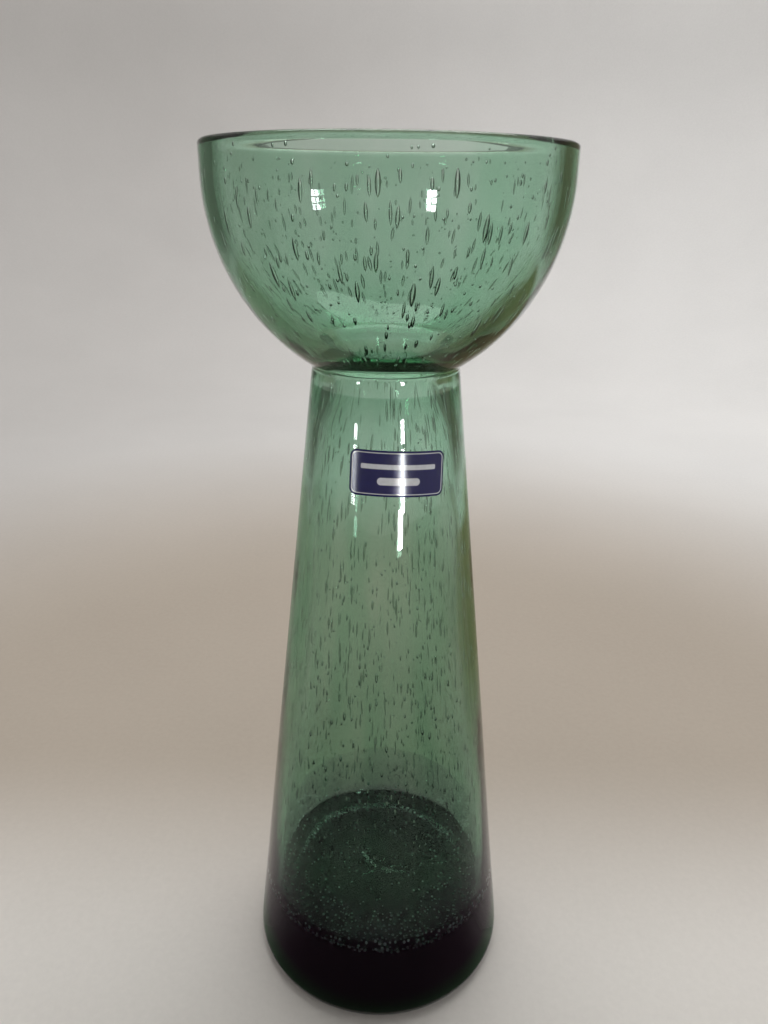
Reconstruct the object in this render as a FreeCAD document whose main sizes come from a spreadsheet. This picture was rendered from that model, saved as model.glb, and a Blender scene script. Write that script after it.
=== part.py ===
import FreeCAD, Part
import math
import os
import Sketcher

# Hyacinth forcing vase in cased, seeded glass: a bowl that holds the bulb, a
# narrow throat, and a tall conical stem that holds the water and the roots.
# Frame: +Z is the axis of the vase, the origin is the centre of the circle that
# the foot stands on, and the labelled side faces -Y. Lengths are millimetres.

doc = FreeCAD.newDocument("hyacinth_vase")

# ---------------------------------------------------------------- dimensions
# Every profile point is one radius (…_rad) and one height (…_lev) on the sheet.
DIMS = [
    # foot
    ("foot_stand_rad", 35.25, "outer radius of the ring that stands on the table"),
    ("foot_kick_rad", 29.2, "inner radius of the standing ring, where the kick starts"),
    ("foot_kick_rise", 1.6, "height of the shallow kick under the middle"),
    ("foot_kick_flat", 21.0, "radius of the kick's flat middle"),
    ("heel_bow", 4.75, "radius of the rounded heel"),
    ("heel_rad", 39.95, "largest radius of the base"),
    ("heel_lev", 4.8, "height of the largest radius, and top of the foot disc"),
    # outside of the stem: a straight cone from the heel to the throat
    ("tip_rad", 35.39782, "outer radius where the amethyst runs out"),
    ("tip_lev", 46.0, "height where the amethyst runs out"),
    ("crease_rad", 19.2, "outer radius of the throat crease"),
    ("crease_lev", 192.6, "height of the throat crease"),
    # outside of the bowl
    ("bowl_bow", 52.6, "radius of the bowl's outer arc"),
    ("bowl_rad", 44.4, "largest outer radius of the bowl"),
    ("bowl_lev", 237.5, "height where the bowl's arcs meet the straight collar"),
    # lip
    ("lip_out_lev", 243.5, "height where the lip's outer corner starts"),
    ("lip_out_bow", 1.1, "radius of the lip's outer corner"),
    ("lip_out_rad", 43.3, "outer radius of the lip's flat crest"),
    ("lip_mid_rad", 42.7, "inner radius of the crest, and of the layer boundary"),
    ("lip_top", 244.6, "height of the lip's crest"),
    ("lip_bow", 1.7, "radius of the lip's inner edge"),
    ("lip_lev", 242.9, "height where the inner edge ends"),
    ("lip_in_rad", 41.0, "inner radius at the lip"),
    # boundary between the seeded layer and the clear layer, bowl
    ("seam_bow", 49.3153, "radius of the layer boundary's arc in the bowl"),
    ("seam_low_rad", 18.4, "layer boundary's lower end in the bowl"),
    ("seam_low_lev", 195.0, "height of that end"),
    ("seam_neck_rad", 17.6, "layer boundary at the crease's level"),
    # inside of the bowl and the ledge
    ("cup_bow", 45.8680, "radius of the bowl's inner arc"),
    ("ledge_rad", 17.4, "radius where the bowl's inside meets the ledge"),
    ("ledge_lev", 197.4, "height of that circle"),
    ("ledge_bow", 4.6, "radius of the ledge's rounded edge"),
    ("throat_rad", 14.0, "clear radius of the throat"),
    ("throat_lev", 193.2, "height where the throat's wall becomes straight"),
    ("throat_low", 186.8, "height where the throat ring ends"),
    ("throat_seam_rad", 16.2, "layer boundary where the throat ring ends"),
    # inside of the stem
    ("bore_neck_rad", 16.9, "radius of the water space under the throat"),
    ("bore_neck_lev", 176.0, "height of that station"),
    ("bore_high_rad", 20.4, "radius of the water space, upper station"),
    ("bore_high_lev", 153.0, "height of the upper station"),
    ("bore_mid_rad", 24.0, "radius of the water space, middle station"),
    ("bore_mid_lev", 119.5, "height of the middle station"),
    ("bore_low_rad", 27.5, "radius of the water space, lower station"),
    ("bore_low_lev", 86.0, "height of the lower station"),
    ("water_rad", 30.9, "radius of the water space, lowest station"),
    ("water_lev", 52.0, "height of the lowest station"),
    ("pool_rad", 33.0, "largest radius of the water space, above its corner"),
    ("pool_lev", 28.0, "height of the corner's centre"),
    ("pool_bow", 6.0, "radius of the bottom corner, inside"),
    ("pool_in_rad", 27.0, "radius where the corner meets the floor"),
    ("pool_floor_lev", 22.0, "height of the floor at the corner"),
    ("pool_mid_lev", 21.4, "height of the floor on the axis"),
    # layer boundary in the stem
    ("liner_neck_rad", 18.5, "layer boundary under the throat"),
    ("liner_high_rad", 21.8, "layer boundary, upper station"),
    ("liner_mid_rad", 25.5, "layer boundary, middle station"),
    ("liner_near_rad", 29.3, "layer boundary, lower station"),
    ("liner_rad", 33.2, "layer boundary, lowest station"),
    ("liner_low_rad", 35.8, "layer boundary above the bottom corner"),
    ("liner_bow", 8.8, "radius of the boundary's bottom corner"),
    ("liner_floor_lev", 19.2, "height of the boundary at the corner"),
    ("liner_mid_lev", 18.6, "height of the boundary on the axis"),
    # label
    ("label_low", 163.6, "lower edge of the label, in its middle"),
    ("label_high", 175.1, "upper edge of the label, in its middle"),
    ("label_drop", 0.39, "how much lower the edges are at their ends"),
    ("label_bow", 178.7, "radius of both edges, seen from the front"),
    ("label_spare", 2.0, "how far the label's skin runs past its outline"),
    ("label_wide", 23.6, "width of the label's outline, seen from the front"),
    ("label_reach", 40.0, "depth of the outline, more than the stem's radius"),
    ("label_thick", 0.14, "thickness of the label"),
    ("label_corner", 1.9, "corner radius of the label"),
]

sheet = doc.addObject("Spreadsheet::Sheet", "Sheet")
sheet.Label = "dimensions"
for row, (alias, value, words) in enumerate(DIMS, start=1):
    sheet.set("A%d" % row, alias.replace("_", " "))
    sheet.set("B%d" % row, repr(float(value)))
    sheet.setAlias("B%d" % row, alias)
    sheet.set("C%d" % row, words)
doc.recompute()


def dim(alias):
    return float(sheet.get(alias))


def origin_feature(body, role):
    for item in body.Origin.OriginFeatures:
        if item.Role == role:
            return item
    raise RuntimeError("no " + role)


def arc_between(p, q, radius, side):
    """Arc of the given radius from p to q; side +1 bulges to the right of p->q."""
    dx, dz = q[0] - p[0], q[1] - p[1]
    half = math.hypot(dx, dz) / 2.0
    rise = math.sqrt(max(radius * radius - half * half, 0.0))
    mx, mz = (p[0] + q[0]) / 2.0, (p[1] + q[1]) / 2.0
    # unit normal to the left of p->q
    nx, nz = -dz / (2 * half), dx / (2 * half)
    cx, cz = mx + side * rise * nx, mz + side * rise * nz
    a0 = math.atan2(p[1] - cz, p[0] - cx)
    a1 = math.atan2(q[1] - cz, q[0] - cx)
    circle = Part.Circle(FreeCAD.Vector(cx, cz, 0), FreeCAD.Vector(0, 0, 1), radius)
    if side > 0:  # counter-clockwise from p to q
        if a1 < a0:
            a1 += 2 * math.pi
        return Part.ArcOfCircle(circle, a0, a1), 1, 2
    if a0 < a1:
        a0 += 2 * math.pi
    return Part.ArcOfCircle(circle, a1, a0), 2, 1


def place(point):
    r = 0.0 if point[0] is None else dim(point[0])
    z = 0.0 if point[1] is None else dim(point[1])
    return (r, z)


def profile_sketch(body, name, points):
    """Closed profile in the XZ plane. Each point is (radius alias or None for the
    axis, height alias or None for the table, edge to the next point), where the
    edge is None for a line or (radius alias, side) for an arc."""
    sketch = body.newObject("Sketcher::SketchObject", name + "_profile")
    sketch.AttachmentSupport = [(origin_feature(body, "XZ_Plane"), "")]
    sketch.MapMode = "FlatFace"
    ends = []
    count = len(points)
    for i, point in enumerate(points):
        p, q = place(point), place(points[(i + 1) % count])
        edge = point[2]
        if edge is None:
            geo = sketch.addGeometry(
                Part.LineSegment(FreeCAD.Vector(p[0], p[1], 0), FreeCAD.Vector(q[0], q[1], 0)), False
            )
            ends.append((geo, 1, 2))
        else:
            shape, first, last = arc_between(p, q, dim(edge[0]), edge[1])
            geo = sketch.addGeometry(shape, False)
            ends.append((geo, first, last))
    for i in range(count):
        geo, _, last = ends[i]
        nxt, first, _ = ends[(i + 1) % count]
        sketch.addConstraint(Sketcher.Constraint("Coincident", geo, last, nxt, first))
    bound = []
    for i, point in enumerate(points):
        geo, first, _ = ends[i]
        if point[0] is None:
            sketch.addConstraint(Sketcher.Constraint("PointOnObject", geo, first, -2))
        else:
            index = sketch.addConstraint(
                Sketcher.Constraint("DistanceX", -1, 1, geo, first, place(point)[0])
            )
            bound.append((index, point[0], "rad%d" % i))
        if point[1] is None:
            sketch.addConstraint(Sketcher.Constraint("PointOnObject", geo, first, -1))
        else:
            index = sketch.addConstraint(
                Sketcher.Constraint("DistanceY", -1, 1, geo, first, place(point)[1])
            )
            bound.append((index, point[1], "lev%d" % i))
        if point[2] is not None:
            index = sketch.addConstraint(
                Sketcher.Constraint("Radius", geo, dim(point[2][0]))
            )
            bound.append((index, point[2][0], "bow%d" % i))
    for index, alias, label in bound:
        sketch.renameConstraint(index, label)
        sketch.setExpression("Constraints." + label, "Sheet." + alias)
    return sketch


def turned(name, points):
    """A sub-part turned about the vase's axis from one closed profile."""
    body = doc.addObject("PartDesign::Body", name)
    body.Label = name
    sketch = profile_sketch(body, name, points)
    turn = body.newObject("PartDesign::Revolution", name + "_turn")
    turn.Profile = (sketch, [""])
    turn.ReferenceAxis = (sketch, ["V_Axis"])
    turn.Angle = 360.0
    body.Tip = turn
    body.Placement = FreeCAD.Placement(FreeCAD.Vector(0, 0, 0), FreeCAD.Rotation())
    sketch.Visibility = False
    return body


# ------------------------------------------------------------------- the foot
# Disc of dark green glass with a rounded heel, a standing ring and a kick.
green_foot = turned(
    "green_foot",
    [
        (None, "foot_kick_rise", None),
        ("foot_kick_flat", "foot_kick_rise", None),
        ("foot_kick_rad", None, None),
        ("foot_stand_rad", None, ("heel_bow", 1)),
        ("heel_rad", "heel_lev", None),
        (None, "heel_lev", None),
    ],
)

# -------------------------------------------------------------- amethyst base
# Thick gather that fills the base under the water space, with a thin edge that
# tapers out on the outside, a short way up the stem.
amethyst_base = turned(
    "amethyst_base",
    [
        (None, "heel_lev", None),
        ("heel_rad", "heel_lev", None),
        ("tip_rad", "tip_lev", None),
        ("liner_low_rad", "pool_lev", ("liner_bow", -1)),
        ("pool_in_rad", "liner_floor_lev", None),
        (None, "liner_mid_lev", None),
    ],
)

# --------------------------------------------------- clear casing of the stem
stem_clear_casing = turned(
    "stem_clear_casing",
    [
        ("liner_low_rad", "pool_lev", None),
        ("tip_rad", "tip_lev", None),
        ("crease_rad", "crease_lev", None),
        ("seam_neck_rad", "crease_lev", None),
        ("throat_seam_rad", "throat_low", None),
        ("liner_neck_rad", "bore_neck_lev", None),
        ("liner_high_rad", "bore_high_lev", None),
        ("liner_mid_rad", "bore_mid_lev", None),
        ("liner_near_rad", "bore_low_lev", None),
        ("liner_rad", "water_lev", None),
    ],
)

# ------------------------------------------- seeded green lining of the stem
stem_seeded_lining = turned(
    "stem_seeded_lining",
    [
        (None, "liner_mid_lev", None),
        ("pool_in_rad", "liner_floor_lev", ("liner_bow", 1)),
        ("liner_low_rad", "pool_lev", None),
        ("liner_rad", "water_lev", None),
        ("liner_near_rad", "bore_low_lev", None),
        ("liner_mid_rad", "bore_mid_lev", None),
        ("liner_high_rad", "bore_high_lev", None),
        ("liner_neck_rad", "bore_neck_lev", None),
        ("throat_seam_rad", "throat_low", None),
        ("throat_rad", "throat_low", None),
        ("bore_neck_rad", "bore_neck_lev", None),
        ("bore_high_rad", "bore_high_lev", None),
        ("bore_mid_rad", "bore_mid_lev", None),
        ("bore_low_rad", "bore_low_lev", None),
        ("water_rad", "water_lev", None),
        ("pool_rad", "pool_lev", ("pool_bow", -1)),
        ("pool_in_rad", "pool_floor_lev", None),
        (None, "pool_mid_lev", None),
    ],
)

# ---------------------------------------------------------------- throat ring
# Thick seeded ring where the bubble was necked in; the bulb rests on its edge.
throat_ring = turned(
    "throat_ring",
    [
        ("throat_rad", "throat_low", None),
        ("throat_seam_rad", "throat_low", None),
        ("seam_neck_rad", "crease_lev", None),
        ("seam_low_rad", "seam_low_lev", None),
        ("ledge_rad", "ledge_lev", ("ledge_bow", 1)),
        ("throat_rad", "throat_lev", None),
    ],
)

# -------------------------------------------- seeded green lining of the bowl
bowl_seeded_lining = turned(
    "bowl_seeded_lining",
    [
        ("ledge_rad", "ledge_lev", None),
        ("seam_low_rad", "seam_low_lev", ("seam_bow", 1)),
        ("lip_mid_rad", "bowl_lev", None),
        ("lip_mid_rad", "lip_top", ("lip_bow", 1)),
        ("lip_in_rad", "lip_lev", None),
        ("lip_in_rad", "bowl_lev", ("cup_bow", -1)),
    ],
)

# --------------------------------------------------- clear casing of the bowl
bowl_clear_casing = turned(
    "bowl_clear_casing",
    [
        ("crease_rad", "crease_lev", ("bowl_bow", 1)),
        ("bowl_rad", "bowl_lev", None),
        ("bowl_rad", "lip_out_lev", ("lip_out_bow", 1)),
        ("lip_out_rad", "lip_top", None),
        ("lip_mid_rad", "lip_top", None),
        ("lip_mid_rad", "bowl_lev", ("seam_bow", -1)),
        ("seam_low_rad", "seam_low_lev", None),
        ("seam_neck_rad", "crease_lev", None),
    ],
)

# ---------------------------------------------------------------------- label
# Thin sheet wrapped on the upper stem, turned a little to the right of the
# front: a conical skin, kept only inside the outline of a rounded rectangle. A
# straight sheet on a cone hangs a little lower at its ends, so the outline's
# upper and lower edges are shallow arcs.
STEM_AT = (
    "Sheet.crease_rad + (Sheet.heel_rad - Sheet.crease_rad)"
    " * (Sheet.crease_lev - %s) / (Sheet.crease_lev - Sheet.heel_lev)"
)


def skin_cone(name, extra):
    cone = doc.addObject("Part::Cone", name)
    cone.setExpression("Radius1", STEM_AT % "(Sheet.label_low - Sheet.label_spare)" + extra)
    cone.setExpression("Radius2", STEM_AT % "(Sheet.label_high + Sheet.label_spare)" + extra)
    cone.setExpression("Height", "Sheet.label_high - Sheet.label_low + 2 * Sheet.label_spare")
    cone.setExpression("Placement.Base.z", "Sheet.label_low - Sheet.label_spare")
    return cone


label_over = skin_cone("label_over", " + Sheet.label_thick")
label_under = skin_cone("label_under", "")
label_skin = doc.addObject("Part::Cut", "label_skin")
label_skin.Base = label_over
label_skin.Tool = label_under

label_outline = doc.addObject("PartDesign::Body", "label_outline")
frame = label_outline.newObject("Sketcher::SketchObject", "label_frame")
frame.AttachmentSupport = [(origin_feature(label_outline, "XZ_Plane"), "")]
frame.MapMode = "FlatFace"
half, low, high = dim("label_wide") / 2.0, dim("label_low"), dim("label_high")
drop, bow = dim("label_drop"), dim("label_bow")
box = [(-half, low - drop), (half, low - drop), (half, high - drop), (-half, high - drop)]
lower, low_first, low_last = arc_between(box[0], box[1], bow, -1)
upper, high_first, high_last = arc_between(box[2], box[3], bow, 1)
frame.addGeometry(lower, False)
frame.addGeometry(
    Part.LineSegment(FreeCAD.Vector(box[1][0], box[1][1], 0), FreeCAD.Vector(box[2][0], box[2][1], 0)), False
)
frame.addGeometry(upper, False)
frame.addGeometry(
    Part.LineSegment(FreeCAD.Vector(box[3][0], box[3][1], 0), FreeCAD.Vector(box[0][0], box[0][1], 0)), False
)
links = [(0, low_last, 1, 1), (1, 2, 2, high_first), (2, high_last, 3, 1), (3, 2, 0, low_first)]
for link in links:
    frame.addConstraint(Sketcher.Constraint("Coincident", *link))
for i in (1, 3):
    frame.addConstraint(Sketcher.Constraint("Vertical", i))
frame.addConstraint(Sketcher.Constraint("Symmetric", 1, 1, 3, 2, -2))
frame.addConstraint(Sketcher.Constraint("Horizontal", 1, 2, 3, 1))
for kind, args, cell, rule in (
    ("DistanceX", (3, 2, 1, 1, 2 * half), "label_wide", "Sheet.label_wide"),
    ("DistanceY", (-1, 1, 1, 1, low - drop), "label_low", "Sheet.label_low - Sheet.label_drop"),
    ("DistanceY", (-1, 1, 1, 2, high - drop), "label_high", "Sheet.label_high - Sheet.label_drop"),
    ("Radius", (0, bow), "lower_bow", "Sheet.label_bow"),
    ("Radius", (2, bow), "upper_bow", "Sheet.label_bow"),
):
    index = frame.addConstraint(Sketcher.Constraint(kind, *args))
    frame.renameConstraint(index, cell)
    frame.setExpression("Constraints." + cell, rule)
slab = label_outline.newObject("PartDesign::Pad", "label_slab")
slab.Profile = (frame, [""])
slab.setExpression("Length", "Sheet.label_reach")
doc.recompute()
across = [
    "Edge%d" % (i + 1)
    for i, edge in enumerate(slab.Shape.Edges)
    if abs(edge.Vertexes[0].Y - edge.Vertexes[-1].Y) > 1.0
]
rounded = label_outline.newObject("PartDesign::Fillet", "label_corners")
rounded.Base = (slab, across)
rounded.setExpression("Radius", "Sheet.label_corner")
label_outline.Tip = rounded
LABEL_FACES = 9.6  # degrees right of the front
LABEL_ASKEW = 3.2  # degrees clockwise, seen from the front, about its middle
middle = FreeCAD.Vector(0, 0, (dim("label_low") + dim("label_high")) / 2.0)
label_outline.Placement = FreeCAD.Placement(
    FreeCAD.Vector(0, 0, 0), FreeCAD.Rotation(FreeCAD.Vector(0, 0, 1), LABEL_FACES)
) * FreeCAD.Placement(
    FreeCAD.Vector(0, 0, 0), FreeCAD.Rotation(FreeCAD.Vector(0, 1, 0), LABEL_ASKEW), middle
)

label = doc.addObject("Part::Common", "label")
label.Label = "label"
label.Base = label_skin
label.Tool = label_outline
label.Placement = FreeCAD.Placement(FreeCAD.Vector(0, 0, 0), FreeCAD.Rotation())

doc.recompute()

# ---------------------------------------------------------------- test, write
subparts = [
    green_foot,
    amethyst_base,
    stem_clear_casing,
    stem_seeded_lining,
    throat_ring,
    bowl_seeded_lining,
    bowl_clear_casing,
    label,
]

for item in doc.Objects:
    bad = [flag for flag in item.State if flag in ("Invalid", "Error")]
    if bad:
        raise RuntimeError("%s is %s" % (item.Name, bad))
for item in subparts:
    shape = item.Shape
    if shape.isNull() or not shape.isValid() or len(shape.Solids) != 1:
        raise RuntimeError(item.Label + " is not one valid solid")
    box = shape.BoundBox
    print(
        "%-20s volume %9.1f mm3  x %.2f..%.2f  y %.2f..%.2f  z %.2f..%.2f"
        % (item.Label, shape.Volume, box.XMin, box.XMax, box.YMin, box.YMax, box.ZMin, box.ZMax)
    )
if len(across) != 4:
    raise RuntimeError("label corners: found %d edges" % len(across))
for i in range(len(subparts)):
    for k in range(i + 1, len(subparts)):
        shared = subparts[i].Shape.common(subparts[k].Shape).Volume
        if shared > 1.0:
            raise RuntimeError(
                "%s and %s overlap by %.2f mm3" % (subparts[i].Label, subparts[k].Label, shared)
            )

os.makedirs("parts", exist_ok=True)
for item in subparts:
    item.Shape.exportStep(os.path.join("parts", item.Label + ".step"))
print("wrote", len(subparts), "parts")
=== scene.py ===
import math
import random

import bmesh
import bpy
from mathutils import Matrix, Vector, noise


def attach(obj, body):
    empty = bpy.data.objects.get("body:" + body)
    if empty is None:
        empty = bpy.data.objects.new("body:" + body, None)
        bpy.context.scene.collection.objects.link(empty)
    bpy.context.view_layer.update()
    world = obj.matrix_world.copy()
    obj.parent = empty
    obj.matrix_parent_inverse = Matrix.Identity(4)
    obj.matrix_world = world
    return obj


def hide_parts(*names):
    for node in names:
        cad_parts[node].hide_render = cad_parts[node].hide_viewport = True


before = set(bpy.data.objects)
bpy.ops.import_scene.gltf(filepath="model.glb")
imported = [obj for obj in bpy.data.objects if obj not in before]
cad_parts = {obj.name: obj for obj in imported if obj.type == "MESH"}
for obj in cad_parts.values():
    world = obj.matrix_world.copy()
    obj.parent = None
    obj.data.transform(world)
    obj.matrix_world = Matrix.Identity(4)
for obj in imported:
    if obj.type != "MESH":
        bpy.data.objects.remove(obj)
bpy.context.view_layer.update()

scene = bpy.context.scene
MM = 0.001
TAU = math.tau
TURN = 256  # segments round the axis, the same on every turned piece

# ------------------------------------------------------------------ outlines
# Lengths in millimetres. The outer cone runs from the heel to the crease.
SLOPE = (39.95 - 19.2) / (192.6 - 4.8)


def cone(z):
    return 19.2 + (192.6 - z) * SLOPE


def spline(stations):
    """Smooth curve r(z) through stations sorted by falling z."""
    pts = sorted(stations)
    zs = [p[0] for p in pts]
    rs = [p[1] for p in pts]
    n = len(pts)
    slope = []
    for i in range(n):
        if i == 0:
            slope.append((rs[1] - rs[0]) / (zs[1] - zs[0]))
        elif i == n - 1:
            slope.append((rs[-1] - rs[-2]) / (zs[-1] - zs[-2]))
        else:
            a = (rs[i] - rs[i - 1]) / (zs[i] - zs[i - 1])
            b = (rs[i + 1] - rs[i]) / (zs[i + 1] - zs[i])
            slope.append(0.0 if a * b < 0 else 0.5 * (a + b))

    def value(z):
        z = min(max(z, zs[0]), zs[-1])
        i = 0
        while i < n - 2 and z > zs[i + 1]:
            i += 1
        h = zs[i + 1] - zs[i]
        t = (z - zs[i]) / h
        return (
            (2 * t**3 - 3 * t**2 + 1) * rs[i]
            + (t**3 - 2 * t**2 + t) * h * slope[i]
            + (3 * t**2 - 2 * t**3) * rs[i + 1]
            + (t**3 - t**2) * h * slope[i + 1]
        )

    return value


bore = spline(
    [(193.2, 14.0), (186.8, 14.0), (176, 16.9), (153, 20.4), (119.5, 24.0), (86, 27.5), (52, 30.9), (28, 33.0)]
)
liner = spline(
    [
        (195.0, 18.4),
        (192.6, 17.6),
        (186.8, 16.2),
        (176, 18.5),
        (153, 21.8),
        (119.5, 25.5),
        (86, 29.3),
        (52, 33.2),
        (28, 35.8),
    ]
)


class Outline:
    """Points (r, z, kind) of a profile. kind is "o" on the outside of the glass,
    "i" on the inside of the vase, "+" or "-" on a boundary between two colours
    (the first with its piece nearer the axis), and "." elsewhere."""

    def __init__(self, r, z, kind):
        self.pts = [(r, z, kind)]

    def line(self, r, z, kind, step=1.6):
        r0, z0, _ = self.pts[-1]
        n = max(1, round(math.hypot(r - r0, z - z0) / step))
        for i in range(1, n + 1):
            t = i / n
            self.pts.append((r0 + (r - r0) * t, z0 + (z - z0) * t, kind))
        return self

    def arc(self, r, z, bow, side, kind, step=1.4, least=6):
        r0, z0, _ = self.pts[-1]
        dx, dz = r - r0, z - z0
        half = math.hypot(dx, dz) / 2
        rise = math.sqrt(max(bow * bow - half * half, 0.0))
        nx, nz = -dz / (2 * half), dx / (2 * half)
        cx = (r0 + r) / 2 + side * rise * nx
        cz = (z0 + z) / 2 + side * rise * nz
        a0 = math.atan2(z0 - cz, r0 - cx)
        a1 = math.atan2(z - cz, r - cx)
        if side > 0 and a1 < a0:
            a1 += TAU
        if side < 0 and a0 < a1:
            a0 += TAU
        n = max(least, round(abs(a1 - a0) * bow / step))
        for i in range(1, n + 1):
            a = a0 + (a1 - a0) * i / n
            self.pts.append((cx + bow * math.cos(a), cz + bow * math.sin(a), kind))
        return self

    def curve(self, f, z, kind, step=1.6):
        z0 = self.pts[-1][1]
        n = max(1, round(abs(z - z0) / step))
        for i in range(1, n + 1):
            level = z0 + (z - z0) * i / n
            self.pts.append((f(level), level, kind))
        return self


# ------------------------------------------------------- hand-made unevenness
def swell(az, z, seed, around, along):
    """Smooth value from 0 to 1 on the vase's wall."""
    p = Vector((math.cos(az) * around, math.sin(az) * around, z / along + seed * 19.7))
    return min(max(0.5 + 0.62 * noise.noise(p), 0.0), 1.0)


def step_between(a, b, x):
    t = min(max((x - a) / (b - a), 0.0), 1.0)
    return t * t * (3 - 2 * t)


LABEL_AZ = math.radians(-90 + 9.6)


def near_label(az, z):
    d = abs((az - LABEL_AZ + math.pi) % TAU - math.pi)
    across = 1 - step_between(math.radians(36), math.radians(62), d)
    along = step_between(150, 161, z) * (1 - step_between(178, 189, z))
    return across * along


def outer_sink(az, z):
    sink = 0.085 * swell(az, z, 1, 1.7, 24) + 0.03 * swell(az, z, 2, 5.0, 70)
    foot = step_between(0.0, 6.0, z)
    return sink * (1 - near_label(az, z)) * (0.25 + 0.75 * foot)


def inner_sink(az, z):
    return 0.20 * swell(az, z, 3, 1.3, 20) + 0.07 * swell(az, z, 4, 4.2, 60)


def seam_shift(az, z):
    rim = 1 - step_between(232, 240, z)
    low = step_between(5.5, 12, z)
    return (0.34 * (swell(az, z, 5, 2.2, 17) - 0.5) + 0.2 * (swell(az, z, 6, 6.0, 50) - 0.5)) * rim * low


def turned(name, outline, inset=0.0, gap=0.012, closed=True, faces_in=False):
    """A closed mesh turned about the axis. A profile that starts and ends on the
    axis is capped there, any other closes on itself like a ring."""
    pts = outline.pts
    capped = abs(pts[0][0]) < 1e-6
    if not capped and math.hypot(pts[0][0] - pts[-1][0], pts[0][1] - pts[-1][1]) < 1e-6:
        pts = pts[:-1]
    n = len(pts)
    away = []
    for i in range(n):
        if capped and i in (0, n - 1):
            away.append((0.0, -1.0 if i == 0 else 1.0))
            continue
        a, c = pts[(i - 1) % n], pts[(i + 1) % n]
        b = pts[i]
        e1 = (b[0] - a[0], b[1] - a[1])
        e2 = (c[0] - b[0], c[1] - b[1])
        l1, l2 = math.hypot(*e1) or 1.0, math.hypot(*e2) or 1.0
        t = (e1[0] / l1 + e2[0] / l2, e1[1] / l1 + e2[1] / l2)
        length = math.hypot(*t) or 1.0
        away.append((t[1] / length, -t[0] / length))
    bm = bmesh.new()
    rings = []
    for i, (r, z, kind) in enumerate(pts):
        nr, nz = away[i]
        if capped and i in (0, n - 1):
            depth = inset if kind in "oi" else gap if kind in "+-" else 0.0
            rings.append([bm.verts.new((0, 0, (z - nz * depth) * MM))])
            continue
        ring = []
        for k in range(TURN):
            az = TAU * k / TURN
            if kind == "o":
                d = -(outer_sink(az, z) + inset)
            elif kind == "i":
                d = -(inner_sink(az, z) + inset)
            elif kind == "+":
                d = seam_shift(az, z) - gap
            elif kind == "-":
                d = -seam_shift(az, z) - gap
            else:
                d = 0.0
            rr, zz = r + nr * d, z + nz * d
            ring.append(bm.verts.new((rr * math.cos(az) * MM, rr * math.sin(az) * MM, zz * MM)))
        rings.append(ring)
    pairs = [(i, i + 1) for i in range(n - 1)] + ([] if capped else [(n - 1, 0)])
    for i, j in pairs:
        low, high = rings[i], rings[j]
        for k in range(TURN):
            m = (k + 1) % TURN
            if len(low) == 1:
                corners = (low[0], high[m], high[k])
            elif len(high) == 1:
                corners = (low[k], low[m], high[0])
            else:
                corners = (low[k], low[m], high[m], high[k])
            bm.faces.new(corners)
    for f in bm.faces:
        f.smooth = True
    return bm


def finish_mesh(name, bm, material, slot, *nodes):
    bm.normal_update()
    mesh = bpy.data.meshes.new(name)
    bm.to_mesh(mesh)
    bm.free()
    ob = bpy.data.objects.new(name, mesh)
    scene.collection.objects.link(ob)
    if material is not None:
        mesh.materials.append(material)
    if nodes:
        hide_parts(*nodes)
    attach(ob, "root")
    return ob


# ------------------------------------------------------------------ materials
def new_material(name):
    mat = bpy.data.materials.new(name)
    mat.use_nodes = True
    nt = mat.node_tree
    nt.nodes.clear()
    return mat, nt, nt.nodes.new("ShaderNodeOutputMaterial")


def node(nt, kind, **values):
    n = nt.nodes.new(kind)
    for key, value in values.items():
        if hasattr(n, key):
            setattr(n, key, value)
        else:
            n.inputs[key.replace("_", " ")].default_value = value
    return n


def absorber(nt, out, per_metre):
    """Plain absorption, per metre, in red, green and blue."""
    top = max(per_metre) / 0.9
    v = nt.nodes.new("ShaderNodeVolumeAbsorption")
    v.inputs["Color"].default_value = (*[1 - a / top for a in per_metre], 1)
    v.inputs["Density"].default_value = top
    nt.links.new(v.outputs[0], out.inputs["Volume"])
    return v


def stretched(nt, scale):
    coords = nt.nodes.new("ShaderNodeTexCoord")
    mapping = nt.nodes.new("ShaderNodeMapping")
    mapping.inputs["Scale"].default_value = scale
    nt.links.new(coords.outputs["Object"], mapping.inputs["Vector"])
    return mapping.outputs["Vector"]


def clear_glass():
    mat, nt, out = new_material("clear_casing_glass")
    p = nt.nodes.new("ShaderNodeBsdfPrincipled")
    p.inputs["Base Color"].default_value = (1, 1, 1, 1)
    p.inputs["Transmission Weight"].default_value = 1.0
    p.inputs["IOR"].default_value = 1.5
    p.inputs["Specular IOR Level"].default_value = 0.5
    # drawn-out ripples left by blowing, finest along the axis
    ripple = node(nt, "ShaderNodeTexNoise", Scale=1.0, Detail=3.0, Roughness=0.5)
    nt.links.new(stretched(nt, (75, 75, 16)), ripple.inputs["Vector"])
    bump = nt.nodes.new("ShaderNodeBump")
    bump.inputs["Strength"].default_value = 0.3
    bump.inputs["Distance"].default_value = 0.0001
    nt.links.new(ripple.outputs["Fac"], bump.inputs["Height"])
    nt.links.new(bump.outputs["Normal"], p.inputs["Normal"])
    # handling marks: a very slight haze in patches
    haze = node(nt, "ShaderNodeTexNoise", Scale=1.0, Detail=4.0, Roughness=0.6)
    nt.links.new(stretched(nt, (60, 60, 45)), haze.inputs["Vector"])
    patch = nt.nodes.new("ShaderNodeMapRange")
    patch.inputs["From Min"].default_value = 0.58
    patch.inputs["From Max"].default_value = 0.85
    patch.inputs["To Min"].default_value = 0.0
    patch.inputs["To Max"].default_value = 0.015
    nt.links.new(haze.outputs["Fac"], patch.inputs["Value"])
    nt.links.new(patch.outputs["Result"], p.inputs["Roughness"])
    nt.links.new(p.outputs["BSDF"], out.inputs["Surface"])
    absorber(nt, out, (31.0, 18.0, 25.0))
    return mat


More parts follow.
